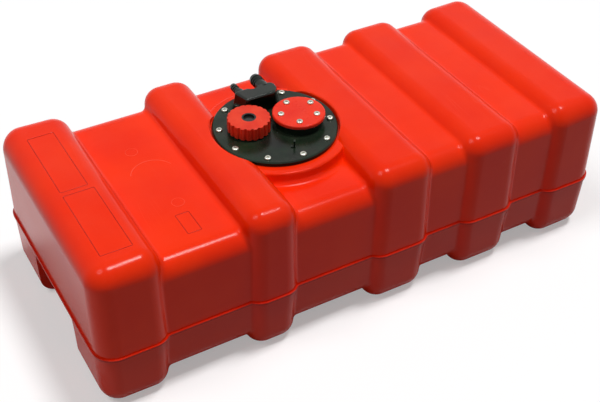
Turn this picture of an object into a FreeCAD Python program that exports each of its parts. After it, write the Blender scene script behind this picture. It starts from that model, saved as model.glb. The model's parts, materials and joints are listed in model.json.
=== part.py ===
"""Outboard fuel tank: a ribbed moulded tank with a flange plate, filler cap, gauge cover and hose outlets.

Millimetres. X runs along the tank, Y across it (hose tails point to +Y), Z is up.
The origin is the middle of the tank's footprint, on the plane that its feet stand on.
"""

import FreeCAD, Part
import math
import os

V = FreeCAD.Vector

# Tank body
TANK_LENGTH = 796.0
TANK_WIDTH = 357.0
TANK_HEIGHT = 232.0
PARTING_Z = 91.0
WALL = 5.0
DRAFT_TOP = 2.6
DRAFT_BOTTOM = 3.8
END_DRAFT_TOP = 0.8
END_DRAFT_BOTTOM = 1.8
END_RADIUS = 29.0
FOOT_RADIUS = 27.0
RIB_RADIUS = 25.0
VALLEY_RADIUS = 8.0
RIDGE_OUT = 2.4
RIDGE_THICK = 3.2

# Ribs, left to right, as the stretch of X that each one takes at the bottom of the channels beside it
RIBS = [(-398.0, -298.5), (-187.5, -109.5), (0.0, 101.0), (150.0, 250.0), (300.0, 398.0)]
DEEP_CHANNEL = 26.4
SHALLOW_CHANNEL = 13.1
SHALLOW_FROM_X = 50.0
SIDE_CHANNEL = 9.2
BOTTOM_CHANNEL = 15.6
CORE_RADIUS = 27.0

# Scoop under each end, between the two feet
SCOOP_HALF_WIDTH = 73.0
SCOOP_TOP_Z = 87.0
SCOOP_REACH = 54.0
SCOOP_RADIUS = 14.0
SCOOP_LIP = 0.5
SCOOP_OVERRUN = 12.0
SCOOP_BELOW = 2.0

# How far a cut runs past the face that it opens, and how far joined pieces sink into each other
OVERRUN = 1.0
SINK = 2.0

# Flange seat and flange plate
FLANGE_X = -55.4
FLANGE_Y = 0.0
PAD_RADIUS = 102.0
PAD_FOOT_RADIUS = 105.0
PAD_TOP_Z = 222.5
PAD_EDGE_RADIUS = 3.0
PAD_VALLEY_RADIUS = 8.0
PAD_SKIRT_RADIUS = 116.0
RECESS_RADIUS = 90.0
RECESS_EDGE_RADIUS = 3.0
RECESS_EDGE_RISE = 0.03
EIGHTH_TURN = math.pi / 4
TANK_HOLE_RADIUS = 66.0
PLATE_RADIUS = 87.5
PLATE_THICK = 5.0
PLATE_CHAMFER = 1.6
GASKET_THICK = 2.0
PLATE_SCREWS = 10
PLATE_SCREW_CIRCLE = 78.1
PLATE_SCREW_START = 18.24
SCREW_RADIUS = 2.5
SCREW_HOLE_RADIUS = 2.75
INSERT_RADIUS = 4.5
INSERT_LENGTH = 13.0
INSERT_BOSS_RADIUS = 8.5
PAN_RADIUS = 4.6
PAN_HEIGHT = 2.9
PLATE_SCREW_SHORT = 2.0
GASKET_INSET = 1.0

# Pan head shape, as shares of the head's radius or height
HEAD_ROUND = 0.6
CROSS_REACH = 0.55
CROSS_FLOOR = 0.45
SHANK_RISE = 0.2
CROSS_HALF_WIDTH = 0.45

# Filler neck and cap
NECK_X = -92.5
NECK_Y = 6.8
NECK_BORE = 17.5
NECK_ROOT = 22.0
NECK_CREST = 23.4
NECK_HEIGHT = 13.5
THREAD_PITCH = 6.0
THREAD_WIDTH = 2.2
THREAD_SINK = 0.4
THREAD_TURNS = 1.25
THREAD_RISE = 3.5
CAP_THREAD_DEPTH = 1.7
NECK_STEP_RADIUS = 29.5
NECK_STEP_HEIGHT = 0.8
CAP_RADIUS = 30.0
CAP_BORE = 24.2
CAP_BOTTOM_Z = 232.0
CAP_TOP_Z = 250.2
CAP_ROOF = 3.2
CAP_FLUTES = 20
FLUTE_RADIUS = 2.4
FLUTE_OUT = 0.5
CAP_EDGE_RADIUS = 1.2
CAP_EYE_RADIUS = 9.3
LIP_RADIUS = 9.9
LIP_DEPTH = 1.2
PLUG_EYE_RADIUS = 7.9
PLUG_SUNK = 0.2
PLUG_REACH = 3.0
CAP_GAP = 0.3
SEAL_THICK = 2.2
PLUG_CLEAR = 0.7
PLUG_SKIRT = 2.3

# Gauge opening and its blanking cover
GAUGE_X = -22.8
GAUGE_Y = -8.8
GAUGE_BOSS_RADIUS = 34.5
GAUGE_BOSS_HEIGHT = 10.0
GAUGE_BORE = 22.0
COVER_RADIUS = 37.0
COVER_THICK = 5.0
COVER_SCREW_CIRCLE = 26.0
COVER_SCREW_ANGLES = [21.4, 101.8, 169.7, 243.2, 315.3]
COVER_EDGE_RADIUS = 2.2
COVER_SCREW_RADIUS = 2.4
COVER_SCREW_BITE = 8.0
COVER_GASKET_OUT = 0.8
HOLE_BOTTOM_GAP = 0.5

# Small tab on the plate
LUG_X = -58.5
LUG_Y = -57.0
LUG_ANGLE = -33.5
LUG_FOOT_LENGTH = 6.4
LUG_FOOT_HEIGHT = 1.4
LUG_WIDTH = 4.4
LUG_POST_THICK = 2.4
LUG_POST_OFFSET = 1.6
LUG_HEIGHT = 10.5
LUG_EYE_RADIUS = 1.3
LUG_EYE_HEIGHT = 7.0

# Outlet housing with the two hose tails
HOUSING_LEFT = -90.5
HOUSING_LEFT_FRONT = -83.0
HOUSING_RIGHT = -22.5
HOUSING_RIGHT_FRONT = -31.0
HOUSING_FRONT = 35.8
HOUSING_CHEEK = 47.0
HOUSING_BACK = 64.0
HOUSING_HEIGHT = 27.0
HOUSING_TAPER_X = 4.0
HOUSING_TAPER_Y = 1.0
HOUSING_RADIUS = 3.2
HOUSING_CHEEK_RADIUS = 8.0
TAIL_Z = 248.0
FUEL_X = -75.6
FUEL_TAIL_END = 88.0
FUEL_TAIL_RADIUS = 4.8
FUEL_BORE = 3.0
VENT_X = -39.5
VENT_TAIL_END = 91.0
VENT_TAIL_RADIUS = 8.0
VENT_BORE = 5.6
PORT_Y = 49.0
COLLAR_START = 58.0
COLLAR_END = 68.0
FUEL_COLLAR_RADIUS = 7.2
VENT_COLLAR_RADIUS = 9.2
SCALLOP_RADIUS = 11.0
SCALLOP_OUT = 4.0
TAIL_TIP_RADIUS = 0.8
FUEL_SPIGOT_RADIUS = 6.6
VENT_SPIGOT_RADIUS = 7.0
SPIGOT_LOW = 219.0
FUEL_SEAL_RADIUS = 8.8
VENT_SEAL_RADIUS = 9.4
SEAL_RING_THICK = 1.6
HOUSING_SCREW_POINTS = [(-57.5, 40.5), (-57.5, 50.5)]
HOUSING_SCREW_RADIUS = 1.9
HOUSING_HOLE_RADIUS = 2.1
HOUSING_SCREW_BITE = 10.0
HOUSING_PAN_RADIUS = 3.6
HOUSING_PAN_HEIGHT = 2.4

# Pick-up line inside the tank, with the anti-siphon valve in the housing above it
TUBE_RADIUS = 5.0
TUBE_BORE = 4.0
TUBE_BOTTOM_Z = 34.0
STRAINER_RADIUS = 9.0
STRAINER_BOTTOM_Z = 26.0
STRAINER_TOP_Z = 62.0
STRAINER_NECK_Z = 55.0
STRAINER_WALL = 1.4
STRAINER_SLOTS = 12
STRAINER_SLOT = 1.6
STRAINER_FLOOR_Z = 29.0
STRAINER_SLOT_LOW_Z = 31.0
STRAINER_SLOT_HIGH_Z = 53.0
STRAINER_SLOT_DEPTH = 1.6
SEAT_LOW_Z = 230.5
SEAT_TOP_Z = 233.0
SEAT_BORE = 2.2
CHAMBER_TOP_Z = 252.0
BALL_CLEAR = 0.35
BALL_RADIUS = 3.0
SPRING_LIFT = 0.7
VALVE_CHAMBER = 3.6
SPRING_WIRE = 0.45
SPRING_TURNS = 5

# Levels and sizes that follow from the values above
HALF_L = TANK_LENGTH / 2
HALF_W = TANK_WIDTH / 2
PLATE_LOW = PAD_TOP_Z + GASKET_THICK
PLATE_TOP = PLATE_LOW + PLATE_THICK
NECK_TOP = PLATE_TOP + NECK_HEIGHT
BOSS_TOP = PLATE_TOP + GAUGE_BOSS_HEIGHT
COVER_LOW = BOSS_TOP + GASKET_THICK
COVER_TOP = COVER_LOW + COVER_THICK
HOUSING_TOP = PLATE_TOP + HOUSING_HEIGHT
CORE_START = (RIBS[0][0] + RIBS[0][1]) / 2
CORE_END = (RIBS[-1][0] + RIBS[-1][1]) / 2
BALL_Z = SEAT_TOP_Z + math.sqrt(BALL_RADIUS ** 2 - SEAT_BORE ** 2) + BALL_CLEAR
RIDGE_LOW = PARTING_Z - RIDGE_THICK / 2
RIDGE_HIGH = PARTING_Z + RIDGE_THICK / 2
NECK_THREAD_Z = PLATE_TOP + THREAD_RISE
CAP_THREAD_Z = NECK_THREAD_Z + THREAD_PITCH / 2
CAP_THREAD_RADIUS = CAP_BORE - CAP_THREAD_DEPTH
PLUG_TOP_Z = CAP_TOP_Z - PLUG_SUNK
TOUCH = 1e-3


def cylinder(radius, low, high, x=0.0, y=0.0):
    """An upright cylinder between two levels."""
    return Part.makeCylinder(radius, high - low, V(x, y, low))


def ring(outer, inner, low, high, x=0.0, y=0.0):
    """An upright ring between two levels."""
    return cylinder(outer, low, high, x, y).cut(cylinder(inner, low - OVERRUN, high + OVERRUN, x, y))


def box(x0, x1, y0, y1, z0, z1):
    """A box between two corners."""
    return Part.makeBox(x1 - x0, y1 - y0, z1 - z0, V(x0, y0, z0))


def fuse(shapes):
    """All the shapes joined into one."""
    joined = shapes[0]
    if len(shapes) > 1:
        joined = shapes[0].multiFuse(shapes[1:])
    return joined.removeSplitter()


def circle_points(x, y, radius, angles):
    """Points on a circle in plan, at angles in degrees."""
    return [
        (x + radius * math.cos(math.radians(a)), y + radius * math.sin(math.radians(a)))
        for a in angles
    ]


def plate_screw_points():
    step = 360.0 / PLATE_SCREWS
    angles = [PLATE_SCREW_START + step * k for k in range(PLATE_SCREWS)]
    return circle_points(FLANGE_X, FLANGE_Y, PLATE_SCREW_CIRCLE, angles)


def cover_screw_points():
    return circle_points(GAUGE_X, GAUGE_Y, COVER_SCREW_CIRCLE, COVER_SCREW_ANGLES)


def screw_holes(points, radius, low, high):
    """Through holes at points, cut a little past both faces."""
    return Part.Compound([cylinder(radius, low - OVERRUN, high + OVERRUN, x, y) for x, y in points])


def rounded(shape, choices):
    """The shape with its edges rounded: each choice is an edge's number and the radius at its two ends."""
    doc = FreeCAD.newDocument("rounding")
    base = doc.addObject("Part::Feature", "base")
    base.Shape = shape
    fillet = doc.addObject("Part::Fillet", "fillet")
    fillet.Base = base
    fillet.Edges = choices
    doc.recompute()
    result = fillet.Shape.copy()
    FreeCAD.closeDocument(doc.Name)
    return result


def rectangle(x0, x1, half_width, z):
    """A rectangle in plan, centred on the X axis."""
    corners = [V(x0, -half_width, z), V(x1, -half_width, z), V(x1, half_width, z), V(x0, half_width, z)]
    return Part.makePolygon(corners + corners[:1])


def rib_half(x0, x1, level, inset, end_inset, shrink, outer_radius, rib_radius):
    """Half of a rib, from the parting line to level, drawn in there by its draft, and by shrink all round."""
    half_width = HALF_W - shrink
    inset_at_left = end_inset if x0 <= -HALF_L else inset
    inset_at_right = end_inset if x1 >= HALF_L else inset
    low = rectangle(x0 + shrink, x1 - shrink, half_width, PARTING_Z)
    far = rectangle(x0 + shrink + inset_at_left, x1 - shrink - inset_at_right, half_width - inset, level)
    block = Part.makeLoft([low, far], True, True)
    radius_at_left = outer_radius if x0 <= -HALF_L else rib_radius
    radius_at_right = outer_radius if x1 >= HALF_L else rib_radius
    middle = (x0 + x1) / 2
    choices = []
    for number, edge in enumerate(block.Edges, start=1):
        ends = [v.Point for v in (edge.firstVertex(True), edge.lastVertex(True))]
        if all(abs(p.z - PARTING_Z) < TOUCH for p in ends):
            continue
        radii = [radius_at_left if p.x < middle else radius_at_right for p in ends]
        choices.append((number, radii[0] - shrink, radii[1] - shrink))
    return rounded(block, choices)


def core_half(x0, x1, level, inset, shrink):
    """Half of the body between the ribs: one drafted, round-cornered section carried along X."""
    low_y = HALF_W - SIDE_CHANNEL - shrink
    high_y = low_y - inset
    radius = CORE_RADIUS - shrink
    up = 1.0 if level > PARTING_Z else -1.0
    lean = math.atan2(inset, abs(level - PARTING_Z))
    tangent = radius * math.tan((math.pi / 2 - lean) / 2)
    turn = (math.pi / 2 - lean) / 2
    centre = V(x0, high_y - tangent, level - up * radius)

    def side(sign):
        start = V(x0, sign * (high_y + tangent * math.sin(lean)), level - up * tangent * math.cos(lean))
        middle = V(
            x0,
            sign * (centre.y + radius * math.sin(turn)),
            centre.z + up * radius * math.cos(turn),
        )
        end = V(x0, sign * centre.y, level)
        return start, middle, end

    right = side(1.0)
    left = side(-1.0)
    edges = [
        Part.makeLine(V(x0, -low_y, PARTING_Z), V(x0, low_y, PARTING_Z)),
        Part.makeLine(V(x0, low_y, PARTING_Z), right[0]),
        Part.Arc(*right).toShape(),
        Part.makeLine(right[2], left[2]),
        Part.Arc(*reversed(left)).toShape(),
        Part.makeLine(left[0], V(x0, -low_y, PARTING_Z)),
    ]
    return Part.Face(Part.Wire(edges)).extrude(V(x1 - x0, 0, 0))


def valley_numbers(body, ribs, cores):
    """The numbers of the edges where the ribs meet the core, found by lying on both."""
    rib_skin = Part.Compound([rib.Shells[0] for rib in ribs])
    core_skin = Part.Compound([core.Shells[0] for core in cores])
    numbers = []
    for number, edge in enumerate(body.Edges, start=1):
        middle = edge.valueAt((edge.FirstParameter + edge.LastParameter) / 2)
        in_parting_plane = abs(middle.z - PARTING_Z) < TOUCH and edge.BoundBox.ZLength < TOUCH
        if in_parting_plane:
            continue
        point = Part.Vertex(middle)
        if rib_skin.distToShape(point)[0] < TOUCH and core_skin.distToShape(point)[0] < TOUCH:
            numbers.append(number)
    return numbers


def ribbed_half(ribs, cores, shrink):
    """Ribs and core joined. Outside the joint is a smooth valley, inside the wall it stays plain."""
    body = fuse(cores + ribs)
    if shrink > 0:
        return body
    choices = [(n, VALLEY_RADIUS, VALLEY_RADIUS) for n in valley_numbers(body, ribs, cores)]
    return rounded(body, choices)


def upper_half(shrink):
    """Everything above the parting line, drawn in by shrink."""
    ribs = [
        rib_half(x0, x1, TANK_HEIGHT - shrink, DRAFT_TOP, END_DRAFT_TOP, shrink, END_RADIUS, RIB_RADIUS)
        for x0, x1 in RIBS
    ]
    deep_z = TANK_HEIGHT - DEEP_CHANNEL - shrink
    shallow_z = TANK_HEIGHT - SHALLOW_CHANNEL - shrink
    deep = core_half(CORE_START, SHALLOW_FROM_X, deep_z, DRAFT_TOP, shrink)
    shallow = core_half(SHALLOW_FROM_X, CORE_END, shallow_z, DRAFT_TOP, shrink)
    return ribbed_half(ribs, [deep, shallow], shrink)


def lower_half(shrink):
    """Everything below the parting line, drawn in by shrink: the ribs end in feet."""
    feet = [
        rib_half(x0, x1, shrink, DRAFT_BOTTOM, END_DRAFT_BOTTOM, shrink, FOOT_RADIUS, RIB_RADIUS)
        for x0, x1 in RIBS
    ]
    body = core_half(CORE_START, CORE_END, BOTTOM_CHANNEL + shrink, DRAFT_BOTTOM, shrink)
    half = ribbed_half(feet, [body], shrink)
    return half.cut(fuse([end_scoop(-1.0, shrink), end_scoop(1.0, shrink)]))


def end_scoop(end, grow):
    """The sloping hollow cut under one end of the tank, grown by the wall where it bounds the inside."""
    outer_x = HALF_L + SCOOP_OVERRUN
    top_x = HALF_L - SCOOP_LIP - grow
    foot_x = HALF_L - SCOOP_REACH - grow
    top_z = SCOOP_TOP_Z + grow
    half_width = SCOOP_HALF_WIDTH + grow
    corners = [(outer_x, top_z), (top_x, top_z), (foot_x, -SCOOP_BELOW), (outer_x, -SCOOP_BELOW)]
    outline = [V(end * x, -half_width, z) for x, z in corners]
    wedge = Part.Face(Part.makePolygon(outline + outline[:1])).extrude(V(0, 2 * half_width, 0))
    choices = []
    for number, edge in enumerate(wedge.Edges, start=1):
        low = edge.firstVertex().Point
        high = edge.lastVertex().Point
        sloping = abs(low.x - high.x) > 1.0 and abs(low.z - high.z) > 1.0
        if sloping:
            choices.append((number, SCOOP_RADIUS, SCOOP_RADIUS))
    return rounded(wedge, choices)


def ridge_block(x0, x1):
    """One rib's stretch of the parting ridge."""
    half_width = HALF_W + RIDGE_OUT
    block = box(x0 - RIDGE_OUT, x1 + RIDGE_OUT, -half_width, half_width, RIDGE_LOW, RIDGE_HIGH)
    choices = []
    for number, edge in enumerate(block.Edges, start=1):
        upright = edge.BoundBox.ZLength > RIDGE_THICK - TOUCH
        if upright:
            at_end = abs(edge.BoundBox.XMin) > HALF_L
            radius = (END_RADIUS if at_end else RIB_RADIUS) + RIDGE_OUT
            choices.append((number, radius, radius))
    return rounded(block, choices)


def parting_ridge():
    """The raised line round the tank where the two halves of the mould met."""
    ribs = [ridge_block(x0, x1) for x0, x1 in RIBS]
    core_y = HALF_W - SIDE_CHANNEL + RIDGE_OUT
    core = box(CORE_START, CORE_END, -core_y, core_y, RIDGE_LOW, RIDGE_HIGH)
    slab = fuse([core] + ribs)
    radius = VALLEY_RADIUS - RIDGE_OUT
    return rounded(slab, [(n, radius, radius) for n in valley_numbers(slab, ribs, [core])])


def flange_pad():
    """The round seat that fills the second channel under the flange plate, with a soft edge and foot."""
    floor = TANK_HEIGHT - DEEP_CHANNEL
    cone = Part.makeCone(PAD_FOOT_RADIUS, PAD_RADIUS, PAD_TOP_Z - floor, V(FLANGE_X, FLANGE_Y, floor))
    skirt = cylinder(PAD_SKIRT_RADIUS, floor - WALL / 2, floor, FLANGE_X, FLANGE_Y)
    pad = fuse([cone, skirt])
    choices = []
    for number, edge in enumerate(pad.Edges, start=1):
        bounds = edge.BoundBox
        round_edge = bounds.ZLength < TOUCH and bounds.XLength > PAD_RADIUS
        if round_edge and bounds.ZMin > PAD_TOP_Z - TOUCH:
            choices.append((number, PAD_EDGE_RADIUS, PAD_EDGE_RADIUS))
        foot = round_edge and abs(bounds.ZMin - floor) < TOUCH
        if foot and bounds.XLength < 2 * PAD_FOOT_RADIUS + TOUCH:
            choices.append((number, PAD_VALLEY_RADIUS, PAD_VALLEY_RADIUS))
    return rounded(pad, choices)


def flange_recess():
    """The room for the plate in the ribs beside it: a round pocket whose brim is rounded outwards."""
    radius = RECESS_EDGE_RADIUS
    brim_z = TANK_HEIGHT + RECESS_EDGE_RISE
    lip = V(RECESS_RADIUS, 0, brim_z - radius)
    middle_out = radius * (1 - math.cos(EIGHTH_TURN))
    middle_down = radius * (1 - math.sin(EIGHTH_TURN))
    middle = V(RECESS_RADIUS + middle_out, 0, brim_z - middle_down)
    brim = V(RECESS_RADIUS + radius, 0, brim_z)
    above = V(brim.x, 0, brim_z + radius)
    edges = [
        Part.makeLine(V(0, 0, PAD_TOP_Z), V(RECESS_RADIUS, 0, PAD_TOP_Z)),
        Part.makeLine(V(RECESS_RADIUS, 0, PAD_TOP_Z), lip),
        Part.Arc(lip, middle, brim).toShape(),
        Part.makeLine(brim, above),
        Part.makeLine(above, V(0, 0, above.z)),
        Part.makeLine(V(0, 0, above.z), V(0, 0, PAD_TOP_Z)),
    ]
    pocket = Part.Face(Part.Wire(edges)).revolve(V(0, 0, 0), V(0, 0, 1), 360)
    pocket.translate(V(FLANGE_X, FLANGE_Y, 0))
    return pocket


def insert_bosses():
    """Lumps under the flange seat that hold the threaded inserts."""
    low = PAD_TOP_Z - INSERT_LENGTH - WALL
    return [cylinder(INSERT_BOSS_RADIUS, low, PAD_TOP_Z - WALL / 2, x, y) for x, y in plate_screw_points()]


def fuel_space():
    """The hollow inside the tank."""
    seat_z = PAD_TOP_Z - WALL
    hollow = fuse([upper_half(WALL), lower_half(WALL)])
    hollow = hollow.cut(cylinder(RECESS_RADIUS + WALL, seat_z, TANK_HEIGHT, FLANGE_X, FLANGE_Y))
    under_seat = cylinder(PAD_RADIUS - WALL, seat_z - DEEP_CHANNEL, seat_z, FLANGE_X, FLANGE_Y)
    hollow = hollow.fuse(under_seat)
    return hollow.cut(Part.Compound(insert_bosses()))


def make_tank_shell():
    outside = fuse([upper_half(0.0), lower_half(0.0), parting_ridge(), flange_pad()])
    outside = outside.cut(flange_recess())
    shell = outside.cut(fuel_space())
    hole_low = PAD_TOP_Z - 2 * WALL
    shell = shell.cut(cylinder(TANK_HOLE_RADIUS, hole_low, PAD_TOP_Z + OVERRUN, FLANGE_X, FLANGE_Y))
    insert_low = PAD_TOP_Z - INSERT_LENGTH
    sockets = screw_holes(plate_screw_points(), INSERT_RADIUS, insert_low + OVERRUN, PAD_TOP_Z)
    return shell.cut(sockets)


def make_tank_inserts():
    low = PAD_TOP_Z - INSERT_LENGTH
    return [ring(INSERT_RADIUS, SCREW_RADIUS, low, PAD_TOP_Z, x, y) for x, y in plate_screw_points()]


def make_flange_gasket():
    inner = TANK_HOLE_RADIUS + GASKET_INSET
    sheet = ring(PLATE_RADIUS - PLATE_CHAMFER, inner, PAD_TOP_Z, PLATE_LOW, FLANGE_X, FLANGE_Y)
    return sheet.cut(screw_holes(plate_screw_points(), SCREW_HOLE_RADIUS, PAD_TOP_Z, PLATE_LOW))


def thread_ridge(root, crest, low, turns):
    """A raised thread: a ridge of trapezoid section along a right-hand helix, from root to crest radius."""
    sink = THREAD_SINK if crest > root else -THREAD_SINK
    half_root = THREAD_WIDTH / 2
    half_crest = THREAD_WIDTH / 4
    path = Part.makeHelix(THREAD_PITCH, THREAD_PITCH * turns, root)
    corners = [
        V(root - sink, 0, -half_root),
        V(crest, 0, -half_crest),
        V(crest, 0, half_crest),
        V(root - sink, 0, half_root),
    ]
    profile = Part.makePolygon(corners + corners[:1])
    ridge = Part.Wire(path.Edges).makePipeShell([profile], True, True)
    ridge.translate(V(NECK_X, NECK_Y, low))
    return ridge


def tether_lug():
    """A small upright tab on the plate, to hold a cap cord."""
    half = LUG_WIDTH / 2
    foot_reach = LUG_FOOT_LENGTH / 2
    post_low = LUG_POST_OFFSET - LUG_POST_THICK / 2
    post_high = LUG_POST_OFFSET + LUG_POST_THICK / 2
    foot = box(-foot_reach, foot_reach, -half, half, PLATE_LOW, PLATE_TOP + LUG_FOOT_HEIGHT)
    post = box(post_low, post_high, -half, half, PLATE_LOW, PLATE_TOP + LUG_HEIGHT)
    eye_start = V(-half, 0, PLATE_TOP + LUG_EYE_HEIGHT)
    eye = Part.makeCylinder(LUG_EYE_RADIUS, LUG_FOOT_LENGTH, eye_start, V(1, 0, 0))
    lug = foot.fuse(post).cut(eye)
    lug.rotate(V(0, 0, 0), V(0, 0, 1), LUG_ANGLE)
    lug.translate(V(LUG_X, LUG_Y, 0))
    return lug


def make_flange_plate():
    disc = cylinder(PLATE_RADIUS, PLATE_LOW, PLATE_TOP, FLANGE_X, FLANGE_Y)
    rim = [e for e in disc.Edges if e.BoundBox.ZMin > PLATE_TOP - TOUCH]
    disc = disc.makeChamfer(PLATE_CHAMFER, rim)
    step = cylinder(NECK_STEP_RADIUS, PLATE_LOW, PLATE_TOP + NECK_STEP_HEIGHT, NECK_X, NECK_Y)
    neck = cylinder(NECK_ROOT, PLATE_LOW, NECK_TOP, NECK_X, NECK_Y)
    boss = cylinder(GAUGE_BOSS_RADIUS, PLATE_LOW, BOSS_TOP, GAUGE_X, GAUGE_Y)
    thread = thread_ridge(NECK_ROOT, NECK_CREST, NECK_THREAD_Z, THREAD_TURNS)
    plate = fuse([disc, step, neck, boss, tether_lug()]).fuse(thread)
    holes = [
        cylinder(NECK_BORE, PLATE_LOW - OVERRUN, NECK_TOP + OVERRUN, NECK_X, NECK_Y),
        cylinder(GAUGE_BORE, PLATE_LOW - OVERRUN, BOSS_TOP + OVERRUN, GAUGE_X, GAUGE_Y),
        cylinder(FUEL_SPIGOT_RADIUS, PLATE_LOW - OVERRUN, PLATE_TOP + OVERRUN, FUEL_X, PORT_Y),
        cylinder(VENT_SPIGOT_RADIUS, PLATE_LOW - OVERRUN, PLATE_TOP + OVERRUN, VENT_X, PORT_Y),
    ]
    for x, y in plate_screw_points():
        holes.append(cylinder(SCREW_HOLE_RADIUS, PLATE_LOW - OVERRUN, PLATE_TOP + OVERRUN, x, y))
    for x, y in cover_screw_points():
        holes.append(cylinder(COVER_SCREW_RADIUS, BOSS_TOP - COVER_SCREW_BITE, BOSS_TOP + OVERRUN, x, y))
    for x, y in HOUSING_SCREW_POINTS:
        holes.append(cylinder(HOUSING_HOLE_RADIUS, PLATE_LOW - OVERRUN, PLATE_TOP + OVERRUN, x, y))
    return plate.cut(Part.Compound(holes))


def pan_screw(x, y, seat, length, shank_radius, head_radius, head_height):
    """A pan-head screw that stands head up on seat, with a cross recess."""
    head = cylinder(head_radius, seat, seat + head_height, x, y)
    rim = [e for e in head.Edges if e.BoundBox.ZMin > seat + head_height - TOUCH]
    head = head.makeFillet(head_height * HEAD_ROUND, rim)
    arm = head_radius * CROSS_REACH
    slot = CROSS_HALF_WIDTH
    floor = seat + head_height * CROSS_FLOOR
    cross = fuse([
        box(x - arm, x + arm, y - slot, y + slot, floor, seat + head_height + OVERRUN),
        box(x - slot, x + slot, y - arm, y + arm, floor, seat + head_height + OVERRUN),
    ])
    shank = cylinder(shank_radius, seat - length, seat + head_height * SHANK_RISE, x, y)
    return head.cut(cross).fuse(shank).removeSplitter()


def make_flange_screws():
    length = PLATE_THICK + GASKET_THICK + INSERT_LENGTH - PLATE_SCREW_SHORT
    return [
        pan_screw(x, y, PLATE_TOP, length, SCREW_RADIUS, PAN_RADIUS, PAN_HEIGHT)
        for x, y in plate_screw_points()
    ]


def make_filler_cap():
    body = cylinder(CAP_RADIUS, CAP_BOTTOM_Z, CAP_TOP_Z, NECK_X, NECK_Y)
    top_rim = [e for e in body.Edges if e.BoundBox.ZMin > CAP_TOP_Z - TOUCH]
    body = body.makeFillet(CAP_EDGE_RADIUS, top_rim)
    step = 360.0 / CAP_FLUTES
    around = [step * k for k in range(CAP_FLUTES)]
    flute_circle = CAP_RADIUS + FLUTE_OUT
    flutes = [
        cylinder(FLUTE_RADIUS, CAP_BOTTOM_Z - OVERRUN, CAP_TOP_Z + OVERRUN, x, y)
        for x, y in circle_points(NECK_X, NECK_Y, flute_circle, around)
    ]
    ceiling = CAP_TOP_Z - CAP_ROOF
    hollow = [
        cylinder(CAP_BORE, CAP_BOTTOM_Z - OVERRUN, ceiling, NECK_X, NECK_Y),
        cylinder(CAP_EYE_RADIUS, ceiling - OVERRUN, CAP_TOP_Z + OVERRUN, NECK_X, NECK_Y),
        cylinder(LIP_RADIUS + CAP_GAP, CAP_TOP_Z - LIP_DEPTH, CAP_TOP_Z + OVERRUN, NECK_X, NECK_Y),
    ]
    body = body.cut(Part.Compound(flutes)).cut(fuse(hollow))
    thread = thread_ridge(CAP_BORE, CAP_THREAD_RADIUS, CAP_THREAD_Z, THREAD_TURNS)
    return body.fuse(thread)


def make_cap_plug():
    seal_top = NECK_TOP + SEAL_THICK
    disc_top = CAP_TOP_Z - CAP_ROOF - CAP_GAP
    lip_low = CAP_TOP_Z - LIP_DEPTH + CAP_GAP
    skirt = NECK_BORE - PLUG_CLEAR
    body = fuse([
        cylinder(CAP_BORE - PLUG_CLEAR, seal_top, disc_top, NECK_X, NECK_Y),
        cylinder(CAP_EYE_RADIUS - CAP_GAP, seal_top, PLUG_TOP_Z, NECK_X, NECK_Y),
        cylinder(LIP_RADIUS, lip_low, PLUG_TOP_Z, NECK_X, NECK_Y),
        ring(skirt, skirt - PLUG_SKIRT, NECK_TOP - PLUG_REACH, disc_top, NECK_X, NECK_Y),
    ])
    return body.cut(cylinder(PLUG_EYE_RADIUS, disc_top, CAP_TOP_Z + OVERRUN, NECK_X, NECK_Y))


def make_cap_gasket():
    return ring(NECK_ROOT, NECK_BORE, NECK_TOP, NECK_TOP + SEAL_THICK, NECK_X, NECK_Y)


def make_cover_gasket():
    sheet = ring(GAUGE_BOSS_RADIUS + COVER_GASKET_OUT, GAUGE_BORE, BOSS_TOP, COVER_LOW, GAUGE_X, GAUGE_Y)
    return sheet.cut(screw_holes(cover_screw_points(), SCREW_HOLE_RADIUS, BOSS_TOP, COVER_LOW))


def make_gauge_cover():
    disc = cylinder(COVER_RADIUS, COVER_LOW, COVER_TOP, GAUGE_X, GAUGE_Y)
    top_rim = [e for e in disc.Edges if e.BoundBox.ZMin > COVER_TOP - TOUCH]
    disc = disc.makeFillet(COVER_EDGE_RADIUS, top_rim)
    return disc.cut(screw_holes(cover_screw_points(), SCREW_HOLE_RADIUS, COVER_LOW, COVER_TOP))


def make_cover_screws():
    length = COVER_THICK + GASKET_THICK + COVER_SCREW_BITE - HOLE_BOTTOM_GAP
    return [
        pan_screw(x, y, COVER_TOP, length, COVER_SCREW_RADIUS, PAN_RADIUS, PAN_HEIGHT)
        for x, y in cover_screw_points()
    ]


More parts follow.
